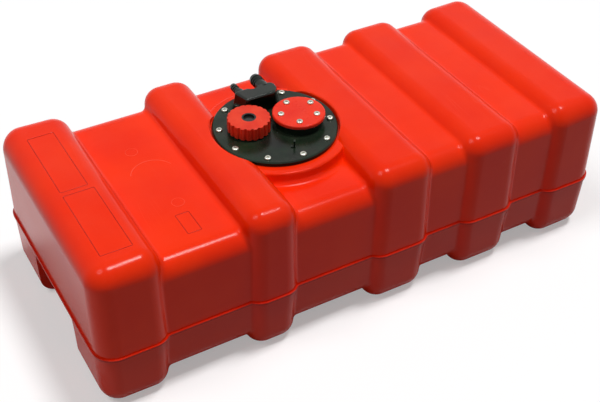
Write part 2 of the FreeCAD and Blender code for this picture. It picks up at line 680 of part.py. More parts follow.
def housing_block():
    """The housing's outside: a tapered block with a slanting left side, round right end and scalloped back."""
    plan = [
        (HOUSING_LEFT_FRONT, HOUSING_FRONT),
        (HOUSING_RIGHT_FRONT, HOUSING_FRONT),
        (HOUSING_RIGHT, HOUSING_CHEEK),
        (HOUSING_RIGHT, HOUSING_BACK),
        (HOUSING_LEFT, HOUSING_BACK),
    ]
    middle_x = (HOUSING_LEFT + HOUSING_RIGHT) / 2
    middle_y = (HOUSING_FRONT + HOUSING_BACK) / 2
    low_outline = [V(x, y, PLATE_TOP) for x, y in plan]
    high_outline = [
        V(
            x - math.copysign(HOUSING_TAPER_X, x - middle_x),
            y - math.copysign(HOUSING_TAPER_Y, y - middle_y),
            HOUSING_TOP,
        )
        for x, y in plan
    ]
    outlines = [Part.makePolygon(line + line[:1]) for line in (low_outline, high_outline)]
    block = Part.makeLoft(outlines, True, True)
    choices = []
    for number, edge in enumerate(block.Edges, start=1):
        bounds = edge.BoundBox
        upright = bounds.ZLength > HOUSING_HEIGHT - TOUCH
        on_right = bounds.XMin > VENT_X
        if upright:
            radius = HOUSING_CHEEK_RADIUS if on_right else HOUSING_RADIUS
            choices.append((number, radius, radius))
        elif bounds.ZMin > HOUSING_TOP - TOUCH:
            choices.append((number, HOUSING_RADIUS, HOUSING_RADIUS))
    block = rounded(block, choices)
    scallop_x = (FUEL_X + VENT_X) / 2
    scallop_y = HOUSING_BACK + SCALLOP_OUT
    low = PLATE_TOP - OVERRUN
    high = HOUSING_TOP + OVERRUN
    return block.cut(cylinder(SCALLOP_RADIUS, low, high, scallop_x, scallop_y))


def along_y(radius, start, end, x):
    """A cylinder along +Y at the height of the hose tails."""
    return Part.makeCylinder(radius, end - start, V(x, start, TAIL_Z), V(0, 1, 0))


def hose_tail(x, end, radius, collar_radius):
    """A hose tail with a rounded tip, and the collar on the housing that the hose is pushed up to."""
    tail = along_y(radius, PORT_Y, end, x)
    tip = [e for e in tail.Edges if e.BoundBox.YMin > end - TOUCH]
    tail = tail.makeFillet(TAIL_TIP_RADIUS, tip)
    return tail.fuse(along_y(collar_radius, COLLAR_START, COLLAR_END, x))


def make_outlet_housing():
    body = fuse([
        housing_block(),
        hose_tail(FUEL_X, FUEL_TAIL_END, FUEL_TAIL_RADIUS, FUEL_COLLAR_RADIUS),
        hose_tail(VENT_X, VENT_TAIL_END, VENT_TAIL_RADIUS, VENT_COLLAR_RADIUS),
        cylinder(FUEL_SPIGOT_RADIUS, SPIGOT_LOW, PLATE_TOP + SINK, FUEL_X, PORT_Y),
        cylinder(VENT_SPIGOT_RADIUS, SPIGOT_LOW, PLATE_TOP + SINK, VENT_X, PORT_Y),
    ])
    cuts = [
        along_y(FUEL_BORE, PORT_Y, FUEL_TAIL_END + OVERRUN, FUEL_X),
        along_y(VENT_BORE, PORT_Y, VENT_TAIL_END + OVERRUN, VENT_X),
        cylinder(VENT_BORE, SPIGOT_LOW - OVERRUN, TAIL_Z + VENT_BORE, VENT_X, PORT_Y),
        cylinder(TUBE_RADIUS, SPIGOT_LOW - OVERRUN, SEAT_TOP_Z, FUEL_X, PORT_Y),
        cylinder(VALVE_CHAMBER, SEAT_TOP_Z - OVERRUN, CHAMBER_TOP_Z, FUEL_X, PORT_Y),
        cylinder(FUEL_SEAL_RADIUS, PLATE_TOP - OVERRUN, PLATE_TOP + SEAL_RING_THICK, FUEL_X, PORT_Y).cut(
            cylinder(FUEL_SPIGOT_RADIUS, PLATE_TOP - SINK, PLATE_TOP + SINK, FUEL_X, PORT_Y)
        ),
        cylinder(VENT_SEAL_RADIUS, PLATE_TOP - OVERRUN, PLATE_TOP + SEAL_RING_THICK, VENT_X, PORT_Y).cut(
            cylinder(VENT_SPIGOT_RADIUS, PLATE_TOP - SINK, PLATE_TOP + SINK, VENT_X, PORT_Y)
        ),
    ]
    for x, y in HOUSING_SCREW_POINTS:
        cuts.append(cylinder(HOUSING_SCREW_RADIUS, PLATE_TOP - OVERRUN, PLATE_TOP + HOUSING_SCREW_BITE, x, y))
    for cut in cuts:
        body = body.cut(cut)
    return body


def make_housing_seals():
    top = PLATE_TOP + SEAL_RING_THICK
    return [
        ring(FUEL_SEAL_RADIUS, FUEL_SPIGOT_RADIUS, PLATE_TOP, top, FUEL_X, PORT_Y),
        ring(VENT_SEAL_RADIUS, VENT_SPIGOT_RADIUS, PLATE_TOP, top, VENT_X, PORT_Y),
    ]


def make_housing_screws():
    """Two screws that come up through the plate from inside the tank."""
    length = PLATE_THICK + HOUSING_SCREW_BITE - HOLE_BOTTOM_GAP
    sizes = (HOUSING_SCREW_RADIUS, HOUSING_PAN_RADIUS, HOUSING_PAN_HEIGHT)
    screws = []
    for x, y in HOUSING_SCREW_POINTS:
        screw = pan_screw(x, y, PLATE_LOW, length, *sizes)
        screw.rotate(V(x, y, PLATE_LOW), V(1, 0, 0), 180.0)
        screws.append(screw)
    return screws


def make_pickup_tube():
    return ring(TUBE_RADIUS, TUBE_BORE, TUBE_BOTTOM_Z, SEAT_LOW_Z, FUEL_X, PORT_Y)


def make_pickup_strainer():
    """A slotted sleeve with a closed bottom, pushed over the end of the pick-up tube."""
    body = cylinder(STRAINER_RADIUS, STRAINER_BOTTOM_Z, STRAINER_TOP_Z, FUEL_X, PORT_Y)
    room = cylinder(STRAINER_RADIUS - STRAINER_WALL, STRAINER_FLOOR_Z, STRAINER_NECK_Z, FUEL_X, PORT_Y)
    grip = cylinder(TUBE_RADIUS, TUBE_BOTTOM_Z, STRAINER_TOP_Z + OVERRUN, FUEL_X, PORT_Y)
    body = body.cut(room).cut(grip)
    step = 360.0 / STRAINER_SLOTS
    half_slot = STRAINER_SLOT / 2
    slot = box(0, STRAINER_RADIUS + OVERRUN, -half_slot, half_slot, STRAINER_SLOT_LOW_Z, STRAINER_SLOT_HIGH_Z)
    slots = []
    for k in range(STRAINER_SLOTS):
        one = slot.copy()
        one.rotate(V(0, 0, 0), V(0, 0, 1), step * k)
        one.translate(V(FUEL_X, PORT_Y, 0))
        slots.append(one)
    keep_radius = STRAINER_RADIUS - STRAINER_SLOT_DEPTH
    keep = cylinder(keep_radius, STRAINER_BOTTOM_Z, STRAINER_TOP_Z, FUEL_X, PORT_Y)
    windows = [one.cut(keep) for one in slots]
    return body.cut(Part.Compound(windows))


def make_valve_seat():
    return ring(TUBE_RADIUS, SEAT_BORE, SEAT_LOW_Z, SEAT_TOP_Z, FUEL_X, PORT_Y)


def make_valve_ball():
    return Part.makeSphere(BALL_RADIUS, V(FUEL_X, PORT_Y, BALL_Z))


def make_valve_spring():
    low = BALL_Z + BALL_RADIUS + SPRING_LIFT
    height = CHAMBER_TOP_Z - SPRING_WIRE - low
    radius = VALVE_CHAMBER - CAP_GAP - SPRING_WIRE
    path = Part.makeHelix(height / SPRING_TURNS, height, radius)
    wire = Part.Wire(Part.makeCircle(SPRING_WIRE, V(radius, 0, 0), V(0, 1, 0)))
    spring = Part.Wire(path.Edges).makePipeShell([wire], True, True)
    spring.translate(V(FUEL_X, PORT_Y, low))
    return spring


MAKERS = {
    "tank_shell": make_tank_shell,
    "tank_inserts": make_tank_inserts,
    "flange_gasket": make_flange_gasket,
    "flange_plate": make_flange_plate,
    "flange_screws": make_flange_screws,
    "filler_cap": make_filler_cap,
    "cap_plug": make_cap_plug,
    "cap_gasket": make_cap_gasket,
    "cover_gasket": make_cover_gasket,
    "gauge_cover": make_gauge_cover,
    "cover_screws": make_cover_screws,
    "outlet_housing": make_outlet_housing,
    "housing_seals": make_housing_seals,
    "housing_screws": make_housing_screws,
    "pickup_tube": make_pickup_tube,
    "pickup_strainer": make_pickup_strainer,
    "valve_seat": make_valve_seat,
    "valve_ball": make_valve_ball,
    "valve_spring": make_valve_spring,
}


if __name__ == "__main__":
    os.makedirs("parts", exist_ok=True)
    for node, maker in MAKERS.items():
        made = maker()
        shape = Part.Compound(made) if isinstance(made, list) else made
        shape.exportStep("parts/" + node + ".step")
        volume = round(shape.Volume)
        print(node, len(shape.Solids), "solid(s), valid:", shape.isValid(), "volume mm3:", volume)
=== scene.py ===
import json
import math

import bpy
from mathutils import Matrix, Vector


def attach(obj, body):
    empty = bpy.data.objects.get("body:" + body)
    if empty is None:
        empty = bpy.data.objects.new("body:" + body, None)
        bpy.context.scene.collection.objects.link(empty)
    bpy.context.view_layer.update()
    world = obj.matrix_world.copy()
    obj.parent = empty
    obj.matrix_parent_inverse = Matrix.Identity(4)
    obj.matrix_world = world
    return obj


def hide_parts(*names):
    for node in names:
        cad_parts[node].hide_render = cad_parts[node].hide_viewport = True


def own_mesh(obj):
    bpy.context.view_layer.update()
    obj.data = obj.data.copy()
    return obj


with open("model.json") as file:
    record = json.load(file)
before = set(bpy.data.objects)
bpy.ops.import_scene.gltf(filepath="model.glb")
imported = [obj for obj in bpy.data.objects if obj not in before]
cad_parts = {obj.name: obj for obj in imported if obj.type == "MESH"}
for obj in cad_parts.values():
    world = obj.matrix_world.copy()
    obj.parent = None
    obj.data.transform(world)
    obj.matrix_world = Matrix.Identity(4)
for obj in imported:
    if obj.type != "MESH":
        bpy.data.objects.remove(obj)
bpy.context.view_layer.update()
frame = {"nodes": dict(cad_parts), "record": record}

NODES = frame["nodes"]
MOUNTS = {mount["name"]: mount for mount in frame["record"]["mounts"]}
MM_PER_METRE = 1000

# Camera, in metres and degrees, as solved from the photograph
IMAGE_WIDTH_PX = 600
FOCAL_PX = 1084.21
SENSOR_MM = 36.0
CAMERA_PLACE = (-0.64497, -1.07381, 1.10866)
CAMERA_AZIMUTH = 30.49
CAMERA_DOWN = 39.69
CAMERA_ROLL = -1.16
CLIP_NEAR = 0.05
CLIP_FAR = 50.0

# Lamps: the way to each one, watts per square metre, and apparent width in degrees
KEY_FROM = (-0.50, 0.04, 1.0)
KEY_STRENGTH = 1.10
KEY_SPREAD = 24.0
EDGE_FROM = (0.26, -0.05, 1.0)
EDGE_STRENGTH = 2.15
EDGE_SPREAD = 13.0

# Surroundings
WHITE = (1.0, 1.0, 1.0, 1.0)
ROOM_STRENGTH = 0.09  # in the light that they give
BACKDROP_STRENGTH = 1.0  # where they are seen

# Floor, in metres
FLOOR_REACH = 6.0
FLOOR_BELOW = 0.0002
FLOOR_PALE = (0.95, 0.95, 0.95, 1.0)  # where it is seen
FLOOR_GREY = (0.22, 0.22, 0.22, 1.0)  # in the light that it throws back
FLOOR_GLOW = 0.35  # share of plain white in what the camera sees

# Levels of the faces that marks stand on, and of the parting line, in metres
RIB_TOP = 0.232
CHANNEL_FLOOR = 0.2056
PLATE_TOP = 0.2295
PARTING_LEVEL = 0.091
PARTING_HALF = 0.0016  # half of its width

# Section of a moulded bead, in metres
BEAD_WIDTH = 0.0011
BEAD_HEIGHT = 0.00045
BEAD_SINK = 0.0004
BEAD_SHOULDER_OUT = 0.62  # share of half the width
BEAD_SHOULDER_UP = 0.72  # share of the height

# Frames: left, right, front and back edges in metres
RIB_FRAME_BACK = (-0.3685, -0.3315, -0.004, 0.125)
RIB_FRAME_FRONT = (-0.3685, -0.3265, -0.139, -0.0125)
CHANNEL_FRAME = (-0.248, -0.229, -0.125, -0.085)
FRAME_CORNER = 0.0015
CORNER_STEP = 18.0  # degrees

# Arc and dials, in metres and degrees
ARC_CENTRE = (-0.2365, 0.0065)
ARC_RADIUS = 0.031
ARC_FROM = 20.0
ARC_TO = 160.0
ARC_STEP = 4.0
DIAL_RADIUS = 0.0085
DIAL_PLACES = ((-0.2440, 0.0660), (-0.2330, -0.0620))
DIAL_STEP = 10.0

# Gate mark, in metres
GATE_PLACE = (-0.062, -0.018)
GATE_RADIUS = 0.0016
GATE_HEIGHT = 0.0006
GATE_CROWN = 0.7  # edge of the flat top, as a share of the radius
GATE_EYE = 0.02  # inner edge, as a share of the radius
GATE_SIDE = 0.4  # upright side, as a share of the height
GATE_AROUND = 32

# Hose tails
TAIL_TIP = 0.0008  # rounding of the tip, in metres
BARBS = 3
BARB_AROUND = 48

# Barb heights over and under the tail's face, as shares of its radius
BARB_RISE = 0.13
BARB_SINK = 0.10
BARB_FOOT = 0.005

# Barb lengths, in pitches
BARB_LAND = 0.10  # the flat top
BARB_RAMP = 0.82  # the whole barb
BARB_FIRST = 1.15  # from the tip back to the first barb's face
BARB_SPARE = 1.6  # the tail's length beyond one pitch for each barb

# Colours, linear
TANK_RED = (0.88, 0.030, 0.001, 1.0)
TANK_RED_DEEP = (0.82, 0.020, 0.001, 1.0)
# painted shade: a darker red for the parting line and the frame beads
TANK_RED_PAINTED_SHADE = (0.46, 0.008, 0.002, 1.0)
# painted highlight: a paler red for the arc and dials
TANK_RED_PAINTED_HIGHLIGHT = (0.92, 0.100, 0.050, 1.0)
TANK_RED_WORN = (0.92, 0.085, 0.040, 1.0)
COVER_RED = (0.84, 0.034, 0.009, 1.0)
COVER_RED_DEEP = (0.76, 0.020, 0.006, 1.0)
COVER_RED_WORN = (0.86, 0.120, 0.080, 1.0)
CAP_RED = (0.78, 0.046, 0.014, 1.0)
CAP_RED_DEEP = (0.68, 0.026, 0.009, 1.0)
CAP_RED_WORN = (0.80, 0.180, 0.120, 1.0)
PLATE_BLACK = (0.005, 0.019, 0.007, 1.0)
PLATE_BLACK_DEEP = (0.004, 0.006, 0.004, 1.0)
HOUSING_BLACK = (0.003, 0.010, 0.005, 1.0)
PLATE_BLACK_WORN = (0.070, 0.085, 0.075, 1.0)
PLUG_BLACK = (0.006, 0.007, 0.006, 1.0)
PLUG_BLACK_DEEP = (0.003, 0.003, 0.003, 1.0)
PLUG_BLACK_WORN = (0.05, 0.05, 0.05, 1.0)
RUBBER_BLACK = (0.012, 0.012, 0.013, 1.0)
RUBBER_BLOOM = (0.050, 0.048, 0.046, 1.0)
NYLON_WHITE = (0.74, 0.72, 0.64, 1.0)
NYLON_DEEP = (0.62, 0.59, 0.48, 1.0)
NYLON_WORN = (0.80, 0.78, 0.72, 1.0)
DUST = (0.46, 0.36, 0.30, 1.0)
STAINLESS = (0.64, 0.65, 0.57, 1.0)
STAINLESS_DULL = (0.42, 0.42, 0.36, 1.0)
BRASS = (0.80, 0.56, 0.24, 1.0)
BRASS_DULL = (0.46, 0.30, 0.13, 1.0)
ALUMINIUM = (0.80, 0.80, 0.81, 1.0)
ALUMINIUM_DULL = (0.58, 0.58, 0.60, 1.0)

# Moulded skin
CLOUD_RANGE = (0.35, 0.68)  # noise over which the plain colour turns deep
SMEAR_SCALE = 3.1  # against the clouds' scale
SINK_SCALE = 0.8  # against the clouds' scale

# Worn edges
EDGE_RANGE = (0.02, 0.22)  # how far the rounded normal leaves the plain one
EDGE_BREAKS = (0.42, 0.62)  # noise that breaks the wear up
EDGE_SAMPLES = 4

# Dust
DUST_UP = (0.55, 1.0)  # how far a face looks up
DUST_PATCHES = (0.40, 0.75)  # noise over which a patch fills
DUST_SPECKS = (0.62, 0.74)  # noise over which a speck fills
SPECK_SCALE = 42.0  # against the patches' scale
PATCH_SHARE = 0.45
SPECK_SHARE = 0.55
DUST_ROUGHENS = 0.5

# Scratches
SCRATCH_TURNS = ((0.3, 0.2, 0.5), (1.2, 0.7, 2.1), (2.2, 1.9, 0.9))  # radians
SCRATCH_STRETCH = (1.0, 0.045, 1.0)
SCRATCH_HALF = 0.004  # half of a line's width, in noise
SCRATCH_PATCH_SCALE = 0.35  # against the lines' scale
SCRATCH_PATCHES = (0.52, 0.66)  # noise over which a patch of scratches fills
SCRATCH_ROUGHENS = 0.25

# Drawn metal
DRAWN_STRETCH = (1.0, 1.0, 0.08)
DRAWN_PATCH_SCALE = 0.12  # against the lines' scale
DRAWN_LINE_SHARE = 0.35  # of the lines in what turns dull
DRAWN_DULL = (0.55, 0.90)  # patches and lines over which bright turns dull
DRAWN_MIDDLE = 0.4  # noise of a line that is as glossy as the whole
DRAWN_SPREAD = 0.35  # roughness from the glossiest to the dullest line

# Painted shade along a thin line at a level
LINE_FADE = 1.3  # where its mask ends, in halves of its width

# Colour sockets of the Mix node, whose names are also those of its number sockets
MIX_SHARE = 0
MIX_FIRST = 6
MIX_SECOND = 7
MIX_RESULT = 2


def camera():
    """The photograph's viewpoint."""
    azimuth, down, roll = (math.radians(a) for a in (CAMERA_AZIMUTH, CAMERA_DOWN, CAMERA_ROLL))
    forward = Vector((
        math.sin(azimuth) * math.cos(down),
        math.cos(azimuth) * math.cos(down),
        -math.sin(down),
    ))
    level_right = Vector((math.cos(azimuth), -math.sin(azimuth), 0))
    level_down = forward.cross(level_right)
    right = math.cos(roll) * level_right + math.sin(roll) * level_down
    picture_down = math.cos(roll) * level_down - math.sin(roll) * level_right
    data = bpy.data.cameras.new("photo_camera")
    data.sensor_width = SENSOR_MM
    data.lens = FOCAL_PX * SENSOR_MM / IMAGE_WIDTH_PX
    data.clip_start = CLIP_NEAR
    data.clip_end = CLIP_FAR
    made = bpy.data.objects.new("photo_camera", data)
    bpy.context.scene.collection.objects.link(made)
    axes = Matrix((right, -picture_down, -forward)).transposed()
    made.matrix_world = Matrix.Translation(CAMERA_PLACE) @ axes.to_4x4()
    bpy.context.scene.camera = made


def far_lamp(name, towards, strength, spread):
    """A distant round softbox: its light falls evenly on the whole floor."""
    data = bpy.data.lights.new(name, "SUN")
    data.energy = strength
    data.angle = math.radians(spread)
    made = bpy.data.objects.new(name, data)
    bpy.context.scene.collection.objects.link(made)
    made.rotation_mode = "QUATERNION"
    made.rotation_quaternion = (-Vector(towards)).to_track_quat("-Z", "Y")


class Tree:
    """A short way to place nodes and link them."""

    def __init__(self, tree):
        self.nodes = tree.nodes
        self.links = tree.links

    def add(self, kind, links=None, values=None, **settings):
        """One node: links and values go by the names or numbers of its input sockets."""
        node = self.nodes.new(kind)
        for key, value in settings.items():
            setattr(node, key, value)
        for key, value in (values or {}).items():
            node.inputs[key].default_value = value
        for key, source in (links or {}).items():
            self.links.new(source, node.inputs[key])
        return node

    def math(self, operation, first, second=None):
        """A Math node on sockets or plain numbers, and its result."""
        node = self.nodes.new("ShaderNodeMath")
        node.operation = operation
        for number, item in enumerate((first, second)):
            if item is None:
                continue
            if isinstance(item, (int, float)):
                node.inputs[number].default_value = item
            else:
                self.links.new(item, node.inputs[number])
        return node.outputs[0]

    def noise(self, where, scale, detail=2.0, roughness=0.5):
        """Noise from 0 to 1 at a scale that is a number or a socket."""
        values = {"Detail": detail, "Roughness": roughness}
        node = self.add("ShaderNodeTexNoise", {"Vector": where}, values)
        if isinstance(scale, (int, float)):
            node.inputs["Scale"].default_value = scale
        else:
            self.links.new(scale, node.inputs["Scale"])
        return node.outputs["Fac"]

    def ramp(self, value, low, high, to_low=0.0, to_high=1.0):
        """The value brought from low..high to to_low..to_high, and held there."""
        node = self.add(
            "ShaderNodeMapRange",
            {"Value": value},
            {"From Min": low, "From Max": high, "To Min": to_low, "To Max": to_high},
        )
        return node.outputs["Result"]

    def blend(self, share, first, second):
        """Two colours mixed by a share from 0 to 1."""
        node = self.nodes.new("ShaderNodeMix")
        node.data_type = "RGBA"
        for number, item in ((MIX_SHARE, share), (MIX_FIRST, first), (MIX_SECOND, second)):
            if isinstance(item, (int, float, tuple)):
                node.inputs[number].default_value = item
            else:
                self.links.new(item, node.inputs[number])
        return node.outputs[MIX_RESULT]

    def group(self, shared, values):
        """A shared effect with this material's own values, and its outputs."""
        return self.add("ShaderNodeGroup", values=values, node_tree=shared).outputs

    def relief(self, height, depth, shader):
        """Fine relief in the shader's normal, where one unit of height is this many metres deep."""
        values = {"Strength": 1.0, "Distance": depth}
        bump = self.add("ShaderNodeBump", {"Height": height}, values)
        self.links.new(bump.outputs["Normal"], shader.inputs["Normal"])


def studio():
    """White surroundings and soft light."""
    scene = bpy.context.scene
    scene.view_settings.view_transform = "Standard"
    world = bpy.data.worlds.new("white_surroundings")
    world.use_nodes = True
    scene.world = world
    tree = Tree(world.node_tree)
    tree.nodes.clear()
    rays = tree.add("ShaderNodeLightPath").outputs
    shown = tree.math("MAXIMUM", rays["Is Camera Ray"], rays["Is Glossy Ray"])
    shown = tree.math("MAXIMUM", shown, rays["Is Transmission Ray"])
    room = tree.add("ShaderNodeBackground", values={"Strength": ROOM_STRENGTH, "Color": WHITE})
    white = tree.add("ShaderNodeBackground", values={"Strength": BACKDROP_STRENGTH, "Color": WHITE})
    both = tree.add("ShaderNodeMixShader", {0: shown, 1: room.outputs[0], 2: white.outputs[0]})
    tree.add("ShaderNodeOutputWorld", {"Surface": both.outputs[0]})
    far_lamp("key_lamp", KEY_FROM, KEY_STRENGTH, KEY_SPREAD)
    far_lamp("edge_lamp", EDGE_FROM, EDGE_STRENGTH, EDGE_SPREAD)


def pale_floor():
    """A flat floor. It keeps the tank's shadow, and throws back less light than its colour would."""
    data = bpy.data.meshes.new("floor")
    plan = ((-1, -1), (1, -1), (1, 1), (-1, 1))
    corners = [(x * FLOOR_REACH, y * FLOOR_REACH, -FLOOR_BELOW) for x, y in plan]
    data.from_pydata(corners, [], [(0, 1, 2, 3)])
    floor = bpy.data.objects.new("floor", data)
    bpy.context.scene.collection.objects.link(floor)
    material = bpy.data.materials.new("pale_floor")
    material.use_nodes = True
    tree = Tree(material.node_tree)
    tree.nodes.clear()
    rays = tree.add("ShaderNodeLightPath").outputs
    colour = tree.blend(rays["Is Diffuse Ray"], FLOOR_PALE, FLOOR_GREY)
    matt = tree.add("ShaderNodeBsdfDiffuse", {"Color": colour})
    white = tree.add("ShaderNodeEmission", values={"Color": WHITE, "Strength": BACKDROP_STRENGTH})
    glow = tree.math("MULTIPLY", rays["Is Camera Ray"], FLOOR_GLOW)
    seen = tree.add("ShaderNodeMixShader", {0: glow, 1: matt.outputs[0], 2: white.outputs[0]})
    tree.add("ShaderNodeOutputMaterial", {"Surface": seen.outputs[0]})
    data.materials.append(material)


def effect(name, inputs, outputs):
    """An empty shader group with named sockets: its tree, its inputs and its outputs."""
    group = bpy.data.node_groups.new(name, "ShaderNodeTree")
    kinds = {"value": "NodeSocketFloat", "colour": "NodeSocketColor"}
    for label, kind in inputs.items():
        group.interface.new_socket(label, in_out="INPUT", socket_type=kinds[kind])
    for label, kind in outputs.items():
        group.interface.new_socket(label, in_out="OUTPUT", socket_type=kinds[kind])
    tree = Tree(group)
    given = tree.add("NodeGroupInput").outputs
    result = tree.add("NodeGroupOutput").inputs
    return group, tree, given, result


def moulded_skin():
    """The skin of moulded plastic: cloudy colour, uneven gloss, fine grain and slow sink marks."""
    inputs = {
        "Colour": "colour",
        "Deep Colour": "colour",
        "Cloud Scale": "value",
        "Grain Scale": "value",
        "Gloss": "value",
        "Gloss Spread": "value",
        "Sink Share": "value",
    }
    outputs = {"Colour": "colour", "Roughness": "value", "Height": "value"}
    group, tree, given, result = effect("moulded_skin", inputs, outputs)
    where = tree.add("ShaderNodeTexCoord").outputs["Object"]
    clouds = tree.noise(where, given["Cloud Scale"], detail=4.0)
    share = tree.ramp(clouds, *CLOUD_RANGE)
    tree.links.new(tree.blend(share, given["Colour"], given["Deep Colour"]), result["Colour"])
    smear_scale = tree.math("MULTIPLY", given["Cloud Scale"], SMEAR_SCALE)
    smears = tree.noise(where, smear_scale, detail=6.0, roughness=0.65)
    spread = tree.math("MULTIPLY", tree.math("SUBTRACT", smears, 0.5), given["Gloss Spread"])
    tree.links.new(tree.math("ADD", given["Gloss"], spread), result["Roughness"])
    grain = tree.noise(where, given["Grain Scale"], detail=3.0, roughness=0.6)
    sink = tree.noise(where, tree.math("MULTIPLY", given["Cloud Scale"], SINK_SCALE), detail=1.0)
    sunk = tree.math("MULTIPLY", sink, given["Sink Share"])
    tree.links.new(tree.math("ADD", grain, sunk), result["Height"])
    return group


def worn_edges():
    """A mask that is highest on sharp edges, broken up by noise."""
    inputs = {"Edge Width": "value", "Break Scale": "value", "Amount": "value"}
    group, tree, given, result = effect("worn_edges", inputs, {"Mask": "value"})
    bevel = tree.add("ShaderNodeBevel", {"Radius": given["Edge Width"]}, samples=EDGE_SAMPLES)
    plain = tree.add("ShaderNodeNewGeometry").outputs["Normal"]
    both = {0: bevel.outputs["Normal"], 1: plain}
    along = tree.add("ShaderNodeVectorMath", both, operation="DOT_PRODUCT").outputs["Value"]
    edge = tree.ramp(tree.math("SUBTRACT", 1.0, along), *EDGE_RANGE)
    where = tree.add("ShaderNodeTexCoord").outputs["Object"]
    breaks = tree.noise(where, given["Break Scale"], detail=5.0, roughness=0.7)
    broken = tree.math("MULTIPLY", edge, tree.ramp(breaks, *EDGE_BREAKS))
    worn = tree.math("MULTIPLY", broken, given["Amount"])
    tree.links.new(worn, result["Mask"])
    return group


def settled_dust():
    """A mask of dust on faces that look up, thicker in patches."""
    inputs = {"Patch Scale": "value", "Amount": "value"}
    group, tree, given, result = effect("settled_dust", inputs, {"Mask": "value"})
    normal = tree.add("ShaderNodeNewGeometry").outputs["Normal"]
    up = tree.add("ShaderNodeSeparateXYZ", {0: normal}).outputs["Z"]
    level = tree.ramp(up, *DUST_UP)
    where = tree.add("ShaderNodeTexCoord").outputs["Object"]
    patches = tree.noise(where, given["Patch Scale"], detail=6.0, roughness=0.6)
    patches = tree.math("MULTIPLY", tree.ramp(patches, *DUST_PATCHES), PATCH_SHARE)
    specks = tree.noise(where, tree.math("MULTIPLY", given["Patch Scale"], SPECK_SCALE), detail=2.0)
    specks = tree.math("MULTIPLY", tree.ramp(specks, *DUST_SPECKS), SPECK_SHARE)
    film = tree.math("MULTIPLY", tree.math("ADD", patches, specks), level)
    tree.links.new(tree.math("MULTIPLY", film, given["Amount"]), result["Mask"])
    return group


def hairlines():
    """A mask of thin stray scratches in three directions."""
    inputs = {"Line Scale": "value", "Amount": "value"}
    group, tree, given, result = effect("hairlines", inputs, {"Mask": "value"})
    where = tree.add("ShaderNodeTexCoord").outputs["Object"]
    found = None
    for turn in SCRATCH_TURNS:
        stretch = {"Rotation": turn, "Scale": SCRATCH_STRETCH}
        long_way = tree.add("ShaderNodeMapping", {"Vector": where}, stretch).outputs[0]
        wave = tree.noise(long_way, given["Line Scale"], detail=0.0)
        off = tree.math("ABSOLUTE", tree.math("SUBTRACT", wave, 0.5))
        line = tree.ramp(off, SCRATCH_HALF, 0.0)
        found = line if found is None else tree.math("MAXIMUM", found, line)
    patch_scale = tree.math("MULTIPLY", given["Line Scale"], SCRATCH_PATCH_SCALE)
    patches = tree.ramp(tree.noise(where, patch_scale, detail=2.0), *SCRATCH_PATCHES)
    kept = tree.math("MULTIPLY", found, patches)
    tree.links.new(tree.math("MULTIPLY", kept, given["Amount"]), result["Mask"])
    return group


def drawn_metal():
    """Bare metal: bright and dull patches, fine drawn lines and their unevenness in gloss."""
    inputs = {"Colour": "colour", "Dull Colour": "colour", "Line Scale": "value", "Gloss": "value"}
    outputs = {"Colour": "colour", "Roughness": "value", "Height": "value"}
    group, tree, given, result = effect("drawn_metal", inputs, outputs)
    where = tree.add("ShaderNodeTexCoord").outputs["Object"]
    long_way = tree.add("ShaderNodeMapping", {"Vector": where}, {"Scale": DRAWN_STRETCH}).outputs[0]
    lines = tree.noise(long_way, given["Line Scale"], detail=4.0, roughness=0.7)
    patch_scale = tree.math("MULTIPLY", given["Line Scale"], DRAWN_PATCH_SCALE)
    patches = tree.noise(where, patch_scale, detail=3.0)
    dull = tree.math("ADD", patches, tree.math("MULTIPLY", lines, DRAWN_LINE_SHARE))
    share = tree.ramp(dull, *DRAWN_DULL)
    tree.links.new(tree.blend(share, given["Colour"], given["Dull Colour"]), result["Colour"])
    spread = tree.math("MULTIPLY", tree.math("SUBTRACT", lines, DRAWN_MIDDLE), DRAWN_SPREAD)
    tree.links.new(tree.math("ADD", given["Gloss"], spread), result["Roughness"])
    tree.links.new(lines, result["Height"])
    return group


MOULDED_SKIN = moulded_skin()
WORN_EDGES = worn_edges()
SETTLED_DUST = settled_dust()
HAIRLINES = hairlines()
DRAWN_METAL = drawn_metal()


def new_material(name, fixed):
    """A material with one Principled shader, whose plain values are set on its own sockets."""
    material = bpy.data.materials.new(name)
    material.use_nodes = True
    tree = Tree(material.node_tree)
    tree.nodes.clear()
    shader = tree.add("ShaderNodeBsdfPrincipled", values=fixed)
    tree.add("ShaderNodeOutputMaterial", {"Surface": shader.outputs[0]})
    return material, tree, shader


def painted_shade_on_level(tree, line):
    """A mask on what lies near a level: painted shade on the thin moulded parting line."""
    where = tree.add("ShaderNodeTexCoord").outputs["Object"]
    height = tree.add("ShaderNodeSeparateXYZ", {0: where}).outputs["Z"]
    off = tree.math("ABSOLUTE", tree.math("SUBTRACT", height, line["level"]))
    return tree.ramp(off, line["half"] * LINE_FADE, line["half"], 0.0, line["share"])


